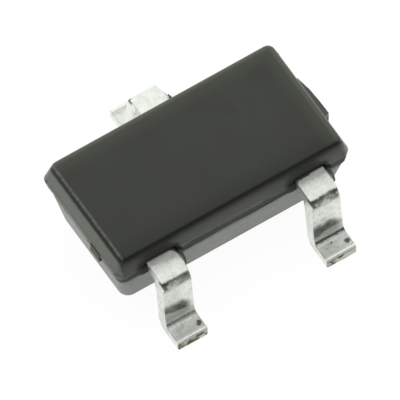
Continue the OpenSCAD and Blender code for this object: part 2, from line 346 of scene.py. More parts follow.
# Shader helpers

def rgba(shade, factor=1.0):
    """A colour made darker or lighter by a factor, with full opacity."""
    return (*(c * factor for c in shade), 1.0)


class Board:
    """A node tree with short calls that add and join nodes."""

    def __init__(self, tree):
        self.tree = tree

    def node(self, kind, inputs=None, **settings):
        made = self.tree.nodes.new(kind)
        for key, value in settings.items():
            setattr(made, key, value)
        for key, value in (inputs or {}).items():
            self.plug(made.inputs[key], value)
        return made

    def plug(self, socket, value):
        if isinstance(value, bpy.types.NodeSocket):
            self.tree.links.new(value, socket)
        elif value is not None:
            socket.default_value = value

    def math(self, operation, a, b=None):
        return self.node("ShaderNodeMath", {0: a, 1: b}, operation=operation).outputs[0]

    def chain(self, operation, values):
        out = values[0]
        for value in values[1:]:
            out = self.math(operation, out, value)
        return out

    def plus(self, *values):
        return self.chain("ADD", values)

    def times(self, *values):
        return self.chain("MULTIPLY", values)

    def most(self, *values):
        return self.chain("MAXIMUM", values)

    def minus(self, a, b):
        return self.math("SUBTRACT", a, b)

    def without(self, mask):
        """1 where the mask is 0, and 0 where it is 1."""
        return self.math("SUBTRACT", 1.0, mask)

    def rise(self, least, mask, more):
        """least where the mask is 0, and more on top of it where the mask is 1."""
        return self.plus(least, self.times(mask, more))

    def away(self, a, b):
        """How far a point lies from the middle, measured along two directions."""
        return self.math("SQRT", self.plus(self.times(a, a), self.times(b, b)))

    def spread(self, value, low, high, start, end):
        """Runs evenly from start to end while value goes from low to high."""
        made = self.node(
            "ShaderNodeMapRange",
            {"Value": value, "From Min": low, "From Max": high, "To Min": start, "To Max": end},
        )
        return made.outputs[0]

    def step(self, value, low, high):
        """0 below low, 1 above high, smooth between; low above high turns it round."""
        made = self.node(
            "ShaderNodeMapRange", {"Value": value, "From Min": low, "From Max": high},
            interpolation_type="SMOOTHSTEP",
        )
        return made.outputs[0]

    def band(self, value, low, high, soft):
        """1 between low and high, falling off over soft on both sides."""
        return self.times(self.step(value, low - soft, low), self.step(value, high + soft, high))

    def mix(self, factor, a, b):
        made = self.node("ShaderNodeMix", data_type="RGBA")
        self.plug(made.inputs[0], factor)
        self.plug(made.inputs[6], a)
        self.plug(made.inputs[7], b)
        return made.outputs[2]

    def noise(self, vector, scale, detail, roughness):
        made = self.node(
            "ShaderNodeTexNoise", {"Vector": vector, "Scale": scale, "Detail": detail, "Roughness": roughness}
        )
        return made.outputs["Fac"]

    def ramp(self, value, stops):
        made = self.node("ShaderNodeValToRGB", {"Fac": value})
        elements = made.color_ramp.elements
        while len(elements) < len(stops):
            elements.new(0.5)
        for element, (place, shade) in zip(elements, stops):
            element.position = place
            element.color = shade
        return made.outputs["Color"]


def group_tree(name, inputs, outputs):
    tree = bpy.data.node_groups.new(name, "ShaderNodeTree")
    for key, kind, default in inputs:
        socket = tree.interface.new_socket(name=key, in_out="INPUT", socket_type=kind)
        if default is not None:
            socket.default_value = default
    for key, kind in outputs:
        tree.interface.new_socket(name=key, in_out="OUTPUT", socket_type=kind)
    board = Board(tree)
    source = board.node("NodeGroupInput")
    sink = board.node("NodeGroupOutput")
    return board, source, sink


def make_grain_group():
    """Fine grain, slow mottling and sparse specks, read in millimetres."""
    board, source, sink = group_tree(
        "Grain",
        [
            ("Place", "NodeSocketVector", None),
            ("Grain scale", "NodeSocketFloat", 30.0),
            ("Mottle scale", "NodeSocketFloat", 4.0),
        ],
        [("Grain", "NodeSocketFloat"), ("Mottle", "NodeSocketFloat"), ("Specks", "NodeSocketFloat")],
    )
    place = source.outputs["Place"]
    grain_scale = source.outputs["Grain scale"]
    mottle_scale = source.outputs["Mottle scale"]
    speckled = board.noise(place, board.times(grain_scale, 0.45), detail=1, roughness=0.5)
    board.plug(sink.inputs["Grain"], board.noise(place, grain_scale, detail=3, roughness=0.55))
    board.plug(sink.inputs["Mottle"], board.noise(place, mottle_scale, detail=3, roughness=0.6))
    board.plug(sink.inputs["Specks"], board.step(speckled, 0.62, 0.74))


def make_place_group():
    """Object coordinates in millimetres: out from the middle of the body, up, and across the nearest lead."""
    board, source, sink = group_tree(
        "Place on part",
        [("Lead pitch", "NodeSocketFloat", LEAD_PITCH / MM)],
        [
            ("Place", "NodeSocketVector"), ("Along", "NodeSocketFloat"), ("Out", "NodeSocketFloat"),
            ("Up", "NodeSocketFloat"), ("Across", "NodeSocketFloat"), ("Depth", "NodeSocketFloat"),
        ],
    )
    where = board.node("ShaderNodeTexCoord").outputs["Object"]
    scaled = board.node("ShaderNodeVectorMath", {0: where, "Scale": 1 / MM}, operation="SCALE").outputs[0]
    along, depth, up = board.node("ShaderNodeSeparateXYZ", {0: scaled}).outputs
    front = board.math("LESS_THAN", depth, 0.0)
    half_pitch = board.times(source.outputs["Lead pitch"], 0.5)
    lead_x = board.times(front, board.math("SIGN", along), half_pitch)
    board.plug(sink.inputs["Place"], scaled)
    board.plug(sink.inputs["Along"], along)
    board.plug(sink.inputs["Out"], board.math("ABSOLUTE", depth))
    board.plug(sink.inputs["Up"], up)
    board.plug(sink.inputs["Across"], board.minus(along, lead_x))
    board.plug(sink.inputs["Depth"], depth)


class MaterialBoard(Board):
    """The nodes of one material round its shader."""

    def __init__(self, name):
        self.material = bpy.data.materials.new(name)
        self.material.use_nodes = True
        self.material.node_tree.nodes.clear()
        super().__init__(self.material.node_tree)
        self.shader = self.node("ShaderNodeBsdfPrincipled")
        output = self.node("ShaderNodeOutputMaterial")
        self.plug(output.inputs["Surface"], self.shader.outputs["BSDF"])

    def give(self, key, value):
        """Sets an input of the shader."""
        self.plug(self.shader.inputs[key], value)


class FinishBoard(MaterialBoard):
    """The nodes of a finish on the part, with the place there and its grain ready to read."""

    def __init__(self, name, grain_scale, mottle_scale):
        super().__init__(name)
        group = self.node("ShaderNodeGroup", node_tree=bpy.data.node_groups["Place on part"])
        self.place, self.along, self.out, self.up, self.across, self.depth = group.outputs
        group = self.node(
            "ShaderNodeGroup",
            {"Place": self.place, "Grain scale": grain_scale, "Mottle scale": mottle_scale},
            node_tree=bpy.data.node_groups["Grain"],
        )
        self.grain, self.mottle, self.specks = group.outputs

    def bumps(self, *layers):
        """Stacks bump nodes; each layer is a height and its depth in metres."""
        normal = None
        for height, depth in layers:
            inputs = {"Height": height, "Distance": depth, "Strength": 1.0, "Normal": normal}
            made = self.node("ShaderNodeBump", inputs)
            normal = made.outputs["Normal"]
        self.give("Normal", normal)


# Moulding compound

class CompoundBoard(FinishBoard):
    """Moulding compound, with one method for each layer of its colour, its places in millimetres."""

    def __init__(self, shades):
        super().__init__("Moulding compound", grain_scale=28.0, mottle_scale=2.2)
        self.base = tuple(shades.compound)
        self.painted_sheen = tuple(shades.painted_sheen)
        self.wander = self.times(self.minus(self.grain, 0.5), 0.03)
        self.low = self.step(self.up, PARTING_AT - 0.02, PARTING_AT - 0.05)

    def ground(self):
        """Mottled and specked and warmer in patches, with painted light that makes it a little paler towards
        the back and the right.
        """
        base = self.base
        tone = self.ramp(self.mottle, [(0.3, rgba(base, 0.78)), (0.5, rgba(base)), (0.72, rgba(base, 1.3))])
        tone = self.mix(self.times(self.specks, 0.12), tone, rgba(base, 2.2))
        # Painted light: paler towards the back and the right
        slope = self.plus(self.depth, self.times(self.along, 0.35))
        tone = self.mix(self.spread(slope, -0.9, 1.1, 0.0, 0.11), tone, rgba(self.painted_sheen))
        warm = self.step(self.noise(self.place, 1.7, detail=2.0, roughness=0.5), 0.4, 0.62)
        return self.mix(self.times(warm, 0.8), tone, rgba((base[0] * 1.7, base[1] * 1.05, base[2] * 1.4)))

    def walls(self, tone):
        """Walls made paler by painted reflection, the lower half more than the upper, under faint green
        clouds.
        """
        base = self.base
        past_left = self.step(self.along, -1.35, -0.6)
        low_shade = self.times(self.low, self.rise(0.5, past_left, 0.14))
        upper_shade = self.rise(0.19, self.step(self.along, -1.3, 1.3), 0.09)
        under_top = self.step(self.up, TOP_AT - 0.1, TOP_AT - 0.2)
        # Painted reflection on the walls, strongest on the lower half
        tone = self.mix(self.plus(self.times(under_top, upper_shade), low_shade), tone, rgba(self.painted_sheen))
        tone = self.mix(self.times(self.low, past_left, 0.6), tone, rgba(self.painted_sheen, 1.42))
        cloud = self.step(self.noise(self.place, 4.2, detail=4.0, roughness=0.65), 0.42, 0.6)
        return self.mix(self.times(cloud, 0.24), tone, rgba((base[0] * 0.9, base[1] * 1.2, base[2] * 0.9)))

    def painted_edge_sheen(self, tone):
        """The back and right edges of the top with painted sheen: a broad faint strip and a narrow clear one.
        """
        upper = self.step(self.up, TOP_AT - 0.12, TOP_AT - 0.05)
        far = self.most(
            self.step(self.depth, SIDE_AT - 0.3, SIDE_AT - 0.1),
            self.step(self.along, RIDGE_AT - 0.32, RIDGE_AT - 0.14),
        )
        edge = self.most(
            self.step(self.depth, SIDE_AT - 0.125, SIDE_AT - 0.085),
            self.step(self.along, RIDGE_AT - 0.155, RIDGE_AT - 0.125),
        )
        edge_sheen = self.times(self.plus(self.times(far, 0.17), self.times(edge, 0.36)), upper)
        return self.mix(edge_sheen, tone, rgba((self.painted_sheen[0], self.painted_sheen[1] * 0.97, self.painted_sheen[2] * 0.85)))

    def painted_end_sheen(self, tone):
        """Painted sheen on the upper walls of both ends, muted round the gate."""
        by_gate = self.times(
            self.step(self.along, 0.0, 0.1),
            self.step(self.depth, -0.5, -0.15),
            self.step(self.depth, 0.45, 0.1),
            0.7,
        )
        endwards = self.plus(self.math("ABSOLUTE", self.along), self.wander)
        sheen = self.times(
            self.without(by_gate),
            self.step(endwards, RIDGE_AT - 0.08, RIDGE_AT - 0.05),
            self.step(self.up, TOP_AT - 0.05, TOP_AT - 0.085),
            self.step(self.up, PARTING_AT - 0.01, PARTING_AT),
        )
        return self.mix(sheen, tone, rgba(self.painted_sheen, 1.24))

    def front_rim(self):
        """The front of the top, darker with painted shade towards its edge, and duller there."""
        return self.times(
            self.step(self.depth, 0.35 - SIDE_AT, 0.06 - SIDE_AT),
            self.step(self.up, TOP_AT - 0.02, TOP_AT - 0.005),
        )

    def brink(self):
        """Painted shade on the round between the top and the front wall."""
        return self.times(
            self.step(self.up, TOP_AT - 0.13, TOP_AT - 0.03),
            self.step(self.up, TOP_AT - 0.002, TOP_AT - 0.012),
            self.step(self.depth, 0.075 - SIDE_AT, 0.06 - SIDE_AT),
            0.85,
        )

    def seam(self):
        """The ragged line of painted shadow over the parting edge, under the overhang of the upper half."""
        ragged = self.minus(self.noise(self.place, 6.0, detail=3.0, roughness=0.6), 0.5)
        seam_up = self.plus(self.up, self.plus(self.wander, self.times(ragged, 0.14)))
        return self.times(
            self.step(seam_up, PARTING_AT + 0.135, PARTING_AT + 0.07),
            self.step(seam_up, PARTING_AT - 0.16, PARTING_AT + 0.045),
            0.56,
        )

    def left_edge_shade(self):
        """The line of painted shade under the left edge of the top."""
        line = self.band(self.up, TOP_AT - 0.054, TOP_AT - 0.04, soft=0.016)
        return self.times(line, self.left_end(), 0.85)

    def ridge_lines(self):
        """Painted shade: a dark fringe on the ridge of the left end, and a painted shadow under that end."""
        ridge_up = self.plus(self.up, self.times(self.wander, 4.0))
        rim = self.band(ridge_up, FRAME_TOP_AT - 0.02, FRAME_TOP_AT + 0.03, soft=0.025)
        fringe = self.times(rim, self.left_end(), 0.35)
        under = self.times(
            self.step(ridge_up, PARTING_AT - 0.23, PARTING_AT - 0.13),
            self.low,
            self.step(self.along, 0.35 - RIDGE_AT, 0.15 - RIDGE_AT),
            0.45,
        )
        return self.most(fringe, under)

    def left_end(self):
        return self.step(self.along, 0.092 - RIDGE_AT, 0.08 - RIDGE_AT)

    def painted_bead_highlight(self, tone):
        """The line of pale beads of painted highlight along the left edge of the top."""
        strip = self.plus(self.along, self.times(self.wander, 0.5))
        beads = self.times(
            self.band(strip, 0.094 - RIDGE_AT, 0.1 - RIDGE_AT, soft=0.022),
            self.step(self.up, TOP_AT - 0.03, TOP_AT - 0.015),
            self.rise(0.45, self.step(self.grain, 0.36, 0.58), 0.55),
        )
        return self.mix(beads, tone, rgba(self.painted_sheen, 1.1))

    def shade_round_leads(self):
        """Painted shade to the left of each lead, painted shadow in the hollow over it, and painted shade on
        the webs beside it.
        """
        wide, high = 0.085, 0.13
        beside = self.math("DIVIDE", self.plus(self.across, LEAD_HALF + 0.035), wide)
        above = self.math("DIVIDE", self.minus(self.plus(self.up, self.wander), FRAME_TOP_AT - 0.015), high)
        blob = self.times(self.step(self.away(beside, above), 1.5, 0.3), 0.68)
        shaken = self.plus(self.up, self.times(self.wander, 0.5))
        hollow = self.times(
            self.step(self.math("ABSOLUTE", self.across), LEAD_HALF + 0.09, LEAD_HALF + 0.02),
            self.step(self.up, PARTING_AT - 0.005, PARTING_AT),
            self.step(shaken, FRAME_TOP_AT + 0.12, FRAME_TOP_AT + 0.055),
            0.65,
        )
        web = self.times(
            self.step(self.out, SIDE_AT + 0.002, SIDE_AT + 0.01),
            self.step(self.out, SIDE_AT + 0.05, SIDE_AT + 0.02),
            0.5,
        )
        outwards = self.step(self.out, SIDE_AT - 0.075, SIDE_AT - 0.04)
        return self.times(self.most(blob, hollow, web), outwards)


def make_compound(shades):
    compound = CompoundBoard(shades)
    painted_shade = rgba(shades.painted_shade)
    front_rim = compound.front_rim()
    brink = compound.brink()
    seam = compound.seam()
    left_edge_shade = compound.left_edge_shade()
    shade_by_leads = compound.shade_round_leads()
    # Painted shade on the tip of the gate lump
    gate_tip_shade = compound.times(compound.step(compound.along, RIDGE_AT + 0.01, RIDGE_AT + 0.03), 0.3)
    web_end_sheen = compound.times(compound.step(compound.out, SIDE_AT + 0.015, SIDE_AT + 0.05), 0.85)

    tone = compound.walls(compound.ground())
    # Painted shade along the front rim of the top
    tone = compound.mix(compound.times(front_rim, 0.75), tone, painted_shade)
    # Painted sheen on the back and right edges of the top and on the ends
    tone = compound.painted_end_sheen(compound.painted_edge_sheen(tone))
    # Lines of painted shade, in darkened compound
    lines = compound.most(seam, left_edge_shade, brink, compound.ridge_lines())
    tone = compound.mix(lines, tone, rgba(shades.compound, 0.35))
    # Painted highlight beads on the left edge of the top, and painted shade on the tip of the gate lump
    tone = compound.mix(gate_tip_shade, compound.painted_bead_highlight(tone), painted_shade)
    # Painted reflection on the outer ends of the webs, as pale as the lower wall
    tone = compound.mix(web_end_sheen, tone, rgba(shades.painted_sheen, 1.5))
    # Painted shade round the leads
    compound.give("Base Color", compound.mix(shade_by_leads, tone, painted_shade))

    dull = compound.most(shade_by_leads, seam, compound.times(brink, 0.8), compound.times(left_edge_shade, 0.7))
    plain = compound.spread(compound.mottle, 0.0, 1.0, 0.28, 0.36)
    rough = compound.plus(plain, compound.times(dull, 0.55), compound.times(front_rim, 0.14))
    compound.give("Roughness", rough)
    compound.give("IOR", 1.52)
    compound.bumps((compound.grain, 1.2e-6), (compound.mottle, 2.5e-6))


# Tin plating

class TinBoard(FinishBoard):
    """Tin plating, with one method for each mark, line, patch of painted light and cut on a lead, its places
    in millimetres.
    """

    def __init__(self, shades):
        super().__init__("Tin plating", grain_scale=26.0, mottle_scale=6.0)
        self.tin = tuple(shades.tin)
        self.wander = self.minus(self.mottle, 0.5)
        self.fleck = self.minus(self.grain, 0.5)
        shake = self.plus(self.times(self.wander, 0.08), self.times(self.fleck, 0.04))
        self.shaken = self.plus(self.up, shake)
        self.patchy = self.step(self.grain, 0.34, 0.58)
        self.blotchy = self.step(self.noise(self.place, 17.0, detail=2.0, roughness=0.6), 0.4, 0.56)
        self.back = self.step(self.depth, -0.1, 0.1)
        self.right = self.step(self.along, 0.0, 0.1)
        self.on_shelf = self.step(self.up, FRAME_TOP_AT - 0.02, FRAME_TOP_AT - 0.004)
        self.over_edge = self.step(self.up, THICK - 0.035, THICK - 0.01)
        self.on_foot = self.times(
            self.over_edge,
            self.step(self.up, THICK + 0.025, THICK + 0.005),
            self.step(self.out, INSTEP_AT, INSTEP_AT + 0.02),
        )
        # How far left the outer face reaches, which is less above, where the punch trimmed it
        reach = self.spread(self.up, PARTING_AT - 0.03, PARTING_AT, LEAD_HALF - 0.007, LEAD_HALF - 0.027)
        self.facing = self.times(
            self.step(self.plus(self.across, reach), -0.004, 0.006),
            self.step(self.across, LEAD_HALF + 0.001, LEAD_HALF - 0.005),
        )
        self.leg_face = self.times(self.step(self.out, CREASE_AT - 0.065, CREASE_AT - 0.035), self.facing)
        tilt = self.plus(
            self.times(self.across, self.without(self.right), 0.25),
            self.times(self.right, self.rise(0.015, self.step(self.across, 0.0, -0.14), 0.04)),
        )
        self.leg_foot = self.plus(self.shaken, tilt)

    def ground(self):
        """Cloudy bright tin, plainer on the back lead, and palest on the shelves with painted highlight."""
        tin = self.tin
        tone = self.ramp(self.mottle, [(0.28, rgba(tin, 0.78)), (0.5, rgba(tin, 0.95)), (0.7, rgba(tin))])
        tone = self.mix(self.step(self.grain, 0.5, 0.34), tone, rgba(tin, 0.76))
        tone = self.mix(self.times(self.back, 0.7), tone, rgba(BACK_TIN))
        # Painted highlight on the shelves
        tone = self.mix(self.times(self.on_shelf, 0.45), tone, rgba(HIGHLIGHT_TIN))
        cloudy = self.step(self.noise(self.place, 13.0, detail=3.0, roughness=0.65), 0.6, 0.42)
        return self.mix(self.times(self.on_shelf, cloudy, 0.3), tone, rgba(tin, 0.7))

    def crease(self):
        """Painted shade under the first bend."""
        sides = self.most(self.step(self.across, -0.06, -0.13), self.step(self.across, 0.08, 0.15))
        return self.times(
            self.step(self.shaken, FRAME_TOP_AT - 0.008, FRAME_TOP_AT - 0.022),
            self.step(self.shaken, FRAME_TOP_AT - 0.2, FRAME_TOP_AT - 0.075),
            self.leg_face,
            self.rise(0.85, sides, 0.15),
            self.rise(0.5, self.blotchy, 0.5),
            self.without(self.back),
        )

    def notch(self):
        """The painted shadow of a narrow notch at the left end of the first bend, which slants inwards as it
        falls.
        """
        tapering = self.plus(-0.17, self.times(self.minus(FRAME_TOP_AT, self.up), 0.35))
        return self.times(
            self.step(self.math("ABSOLUTE", self.minus(self.across, tapering)), 0.034, 0.012),
            self.step(self.shaken, FRAME_TOP_AT - 0.15, FRAME_TOP_AT - 0.105),
            self.step(self.up, FRAME_TOP_AT - 0.004, FRAME_TOP_AT - 0.014),
            self.step(self.out, CREASE_AT - 0.085, CREASE_AT - 0.055),
        )

    def leg_band(self):
        """The broad band of painted shade over the foot of the leg, lower towards the right edge."""
        sag = self.times(self.most(self.minus(self.across, 0.03), 0.0), 0.55)
        leg_up = self.plus(self.shaken, sag, self.rise(0.012, self.right, 0.034))
        return self.times(
            self.step(leg_up, THICK + 0.375, THICK + 0.25),
            self.step(self.leg_foot, THICK + 0.13, THICK + 0.18),
            self.leg_face,
            self.step(self.minus(self.across, self.times(self.right, 0.05)), 0.2, 0.06),
            self.rise(0.74, self.blotchy, 0.2),
        )

    def painted_leg_highlight(self):
        """The pale strip of painted highlight between the band of painted shade and the second bend."""
        return self.times(
            self.step(self.leg_foot, THICK + 0.18, THICK + 0.13),
            self.step(self.up, THICK + 0.025, THICK + 0.045),
            self.leg_face,
        )

    def instep_line(self):
        """The line of painted shade inside the second bend."""
        inner_rim = self.plus(self.out, self.times(self.fleck, 0.04))
        outer_rim = self.plus(self.out, self.times(self.fleck, 0.06))
        outer_rim = self.minus(outer_rim, self.times(self.right, 0.016))
        return self.times(
            self.step(inner_rim, INSTEP_AT - 0.011, INSTEP_AT - 0.002),
            self.step(outer_rim, INSTEP_AT + 0.021, INSTEP_AT + 0.008),
            self.band(self.up, THICK, THICK + 0.03, soft=0.015),
            self.facing,
            self.rise(0.6, self.patchy, 0.4),
        )

    def darker_foot(self):
        """The foot darkened grey, with darker specks and less of it on the back lead."""
        towards_toe = self.step(self.out, TOE_AT - 0.18, TOE_AT - 0.09)
        return self.times(
            self.on_foot,
            self.step(self.out, TOE_AT - 0.03, TOE_AT - 0.05),
            self.without(self.times(self.back, 0.5)),
            self.plus(self.rise(0.18, towards_toe, 0.1), self.times(self.specks, 0.35)),
        )

    def stroke(self):
        """The faint scrape across the foot, close to the toe."""
        ragged = self.plus(self.out, self.times(self.fleck, 0.03))
        return self.times(
            self.band(ragged, TOE_AT - 0.085, TOE_AT - 0.045, soft=0.014),
            self.on_foot,
            self.step(self.across, 0.13, 0.06),
            self.rise(0.2, self.patchy, 0.2),
        )

    def spot(self, across, out, radius):
        """A round spot on the foot with a torn rim."""
        torn_across = self.minus(self.plus(self.across, self.times(self.fleck, 0.08)), across)
        torn_out = self.minus(self.plus(self.out, self.times(self.wander, 0.07)), out)
        return self.step(self.away(torn_across, torn_out), radius, radius * 0.5)

    def spots(self):
        """One large dark spot on each front foot, and a small one on the right foot."""
        small = self.times(self.spot(-0.019, TOE_AT - 0.176, 0.022), self.right)
        large = self.spot(0.14, TOE_AT - 0.11, 0.05)
        return self.times(self.most(large, small), self.on_foot, self.without(self.back))

    def sheared_side(self):
        """The dark sheared sides where the dam bar was cut."""
        right_side = self.step(self.across, LEAD_HALF - 0.015, LEAD_HALF + 0.001)
        left_side = self.times(self.step(self.across, 0.023 - LEAD_HALF, 0.019 - LEAD_HALF), self.back)
        return self.times(
            self.most(right_side, left_side),
            self.band(self.out, SIDE_AT + 0.01, SIDE_AT + 0.16, soft=0.03),
            self.step(self.up, PARTING_AT - 0.03, PARTING_AT),
            0.85,
            self.without(self.times(self.back, self.step(self.out, SIDE_AT + 0.05, SIDE_AT + 0.1), 0.7)),
        )

    def dark_shelf_corner(self):
        """The dark patch over one corner of each shelf, next to the wall."""
        flipped = self.times(self.across, self.without(self.times(self.right, 2.0)))
        past = self.most(self.minus(flipped, self.minus(0.095, self.times(self.right, 0.01))), 0.0)
        reach = self.rise(SIDE_AT + 0.09, self.right, 0.04)
        inside = self.times(self.most(self.minus(reach, self.out), 0.0), 0.75)
        corner = self.times(
            self.step(self.minus(self.away(past, inside), self.times(self.right, 0.017)), 0.078, 0.096),
            self.step(inside, 0.0, 0.01),
        )
        jag = self.times(
            self.right,
            self.step(flipped, -0.03, 0.0),
            self.step(self.plus(self.out, self.times(self.fleck, 0.04)), SIDE_AT + 0.01, SIDE_AT - 0.002),
        )
        return self.times(self.most(corner, jag), self.on_shelf)

    def toe_lip(self):
        """The pale lip of painted highlight along the top edge of the toe."""
        return self.times(self.over_edge, self.step(self.out, TOE_AT - 0.038, TOE_AT - 0.018), 0.6)

    def sheared_toe(self):
        """Where the end of the foot shows the cut."""
        past = self.step(self.out, TOE_AT - 0.014, TOE_AT - 0.007)
        return self.times(past, self.step(self.up, THICK - 0.012, THICK - 0.022))

    def cut_face(self):
        """Torn copper alloy in three shades, with a dark burr along its top."""
        torn = self.noise(self.place, 9.0, detail=2.0, roughness=0.6)
        face = self.ramp(torn, [(0.42, rgba(CUT_BROWN)), (0.47, rgba(CUT_GREY)), (0.54, rgba(CUT_PALE))])
        ragged = self.plus(self.up, self.times(self.wander, 0.04))
        burr = self.band(ragged, THICK - 0.037, THICK - 0.017, soft=0.012)
        return self.mix(self.times(burr, 0.75), face, rgba(CUT_BURR))


def make_tin(shades):
    tin = TinBoard(shades)
    painted_leg_highlight = tin.painted_leg_highlight()
    sheared = tin.sheared_toe()
    marks_and_shade = tin.most(
        tin.crease(), tin.notch(), tin.leg_band(), tin.instep_line(), tin.darker_foot(), tin.stroke(),
        tin.spots(), tin.sheared_side(), tin.dark_shelf_corner(),
    )
    # Painted highlight on the leg above the second bend
    tone = tin.mix(tin.times(painted_leg_highlight, 0.6), tin.ground(), rgba(HIGHLIGHT_TIN))
    # Dark marks on the tin, and painted shade in its bends
    tone = tin.mix(tin.times(marks_and_shade, 0.92), tone, rgba(shades.stain_and_shade))
    # Painted highlight along the top edge of the toe
    tone = tin.mix(tin.toe_lip(), tone, rgba(HIGHLIGHT_TIN))
    tin.give("Base Color", tin.mix(sheared, tone, tin.cut_face()))

    by_wall = tin.times(tin.step(tin.out, SIDE_AT + 0.09, SIDE_AT + 0.01), tin.on_shelf)
    matt = tin.most(by_wall, tin.times(painted_leg_highlight, 0.75))
    metal = tin.spread(tin.most(marks_and_shade, sheared), 0.0, 1.0, 0.95, 0.3)
    tin.give("Metallic", tin.times(metal, tin.without(matt)))
    tin.give("Roughness", tin.spread(tin.grain, 0.0, 1.0, 0.3, 0.44))
    tin.bumps((tin.grain, 1.5e-6), (tin.mottle, 6e-6))


# Cut bars and inner pieces

def make_cut_alloy(shades):
    alloy = FinishBoard("Cut copper alloy", grain_scale=40.0, mottle_scale=9.0)
    base = tuple(shades.alloy)
    stops = [(0.3, rgba(base, 0.5)), (0.55, rgba(base)), (0.8, rgba(base, 1.7))]
    alloy.give("Base Color", alloy.ramp(alloy.mottle, stops))
    alloy.give("Metallic", 0.8)
    alloy.give("Roughness", 0.5)
    alloy.bumps((alloy.grain, 1.5e-6))


def make_plain(name, base, metallic, roughness, grain_scale, depth):
    """A finish with mottled colour and a fine grain, for the pieces inside."""
    plain = FinishBoard(name, grain_scale, grain_scale / 5)
    lightest = [min(c * 1.15, 1) for c in base]
    plain.give("Base Color", plain.ramp(plain.mottle, [(0.3, rgba(base, 0.8)), (0.7, rgba(lightest))]))
    plain.give("Metallic", metallic)
    plain.give("Roughness", roughness)
    plain.bumps((plain.grain, depth))


# Operators

class TRANSISTOR_OT_finishes(bpy.types.Operator):
    """Makes the node groups and the materials"""

    bl_idname = "transistor.finishes"
    bl_label = "Finishes"

    def execute(self, context):
        shades = context.scene.transistor_finishes
        make_grain_group()
        make_place_group()
        make_compound(shades)
        make_tin(shades)
        make_cut_alloy(shades)
        for name, base, metallic, roughness, grain_scale, depth in (
            ("Silicon", (0.12, 0.13, 0.16), 0.6, 0.15, 60.0, 0.1e-6),
            ("Attach solder", (0.5, 0.5, 0.48), 1.0, 0.4, 50.0, 0.5e-6),
            ("Bond gold", (0.9, 0.62, 0.2), 1.0, 0.25, 90.0, 0.1e-6),
        ):
            make_plain(name, base, metallic, roughness, grain_scale, depth)
        return {"FINISHED"}


